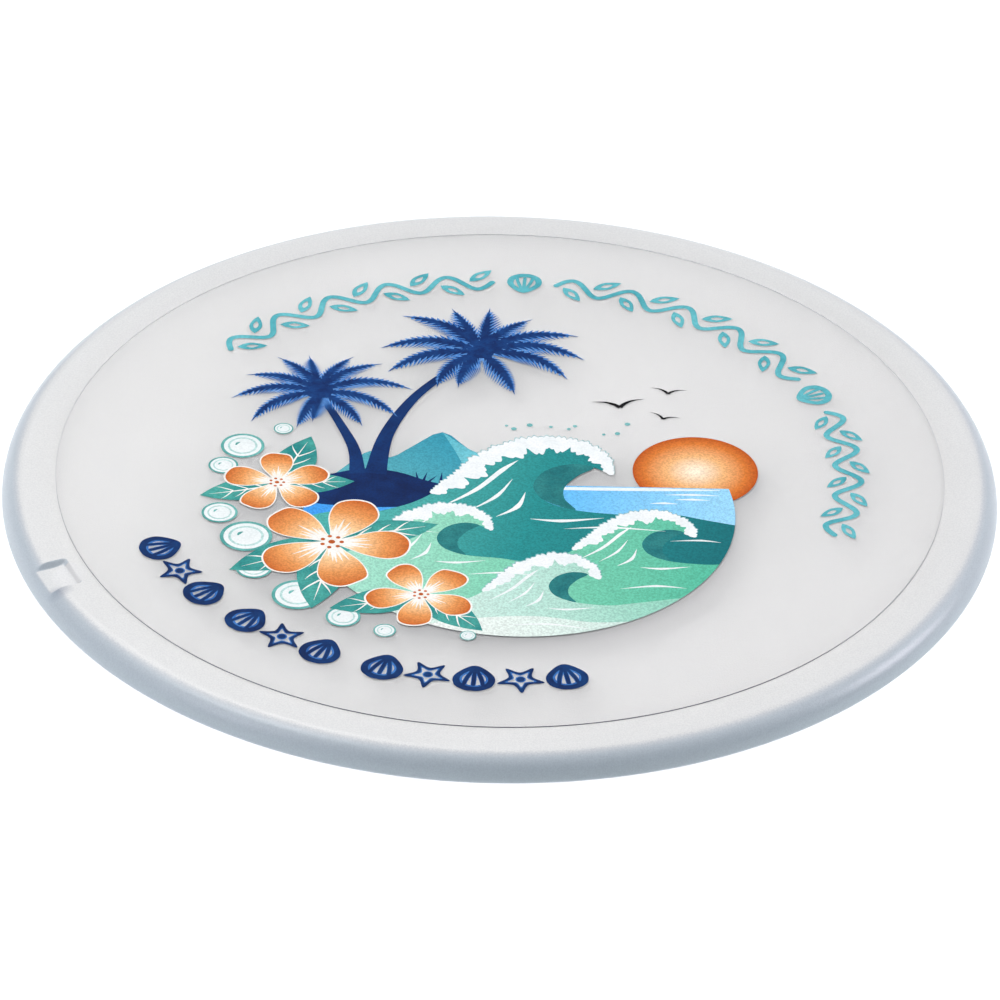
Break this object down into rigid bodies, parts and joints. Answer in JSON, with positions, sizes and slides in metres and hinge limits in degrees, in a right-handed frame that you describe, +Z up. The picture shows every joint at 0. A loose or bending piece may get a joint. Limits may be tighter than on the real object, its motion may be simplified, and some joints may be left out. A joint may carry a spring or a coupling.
{
  "type": "flying disc",
  "caption": "Shallow frosted plastic flying disc with a rolled edge, a hollow underside and a round printed film label on its flat top.",
  "frame": {"origin": "on the disc's axis, in the plane of the lip's resting edge (bottom centre of the object)", "axes": "+Z up out of the printed top face; +X to the right and +Y away as the printed picture is read, with the gate recess at 205 degrees anticlockwise from +X"},
  "size_m": [0.215, 0.215, 0.0065],
  "materials": {
    "frosted_plastic": "fine spark-eroded grain, translucent",
    "clear_adhesive": "clear",
    "clear_film": "clear, satin",
    "picture_ink": "satin ink with a fine orange peel, several colours",
    "teal_ink": "satin ink",
    "navy_ink": "satin ink"
  },
  "bodies": {
    "root": {"body_moulding": "frosted_plastic", "label_adhesive": "clear_adhesive", "label_film": "clear_film", "picture_ink": "picture_ink", "upper_border_ink": "teal_ink", "lower_border_ink": "navy_ink"}
  },
  "joints": []
}
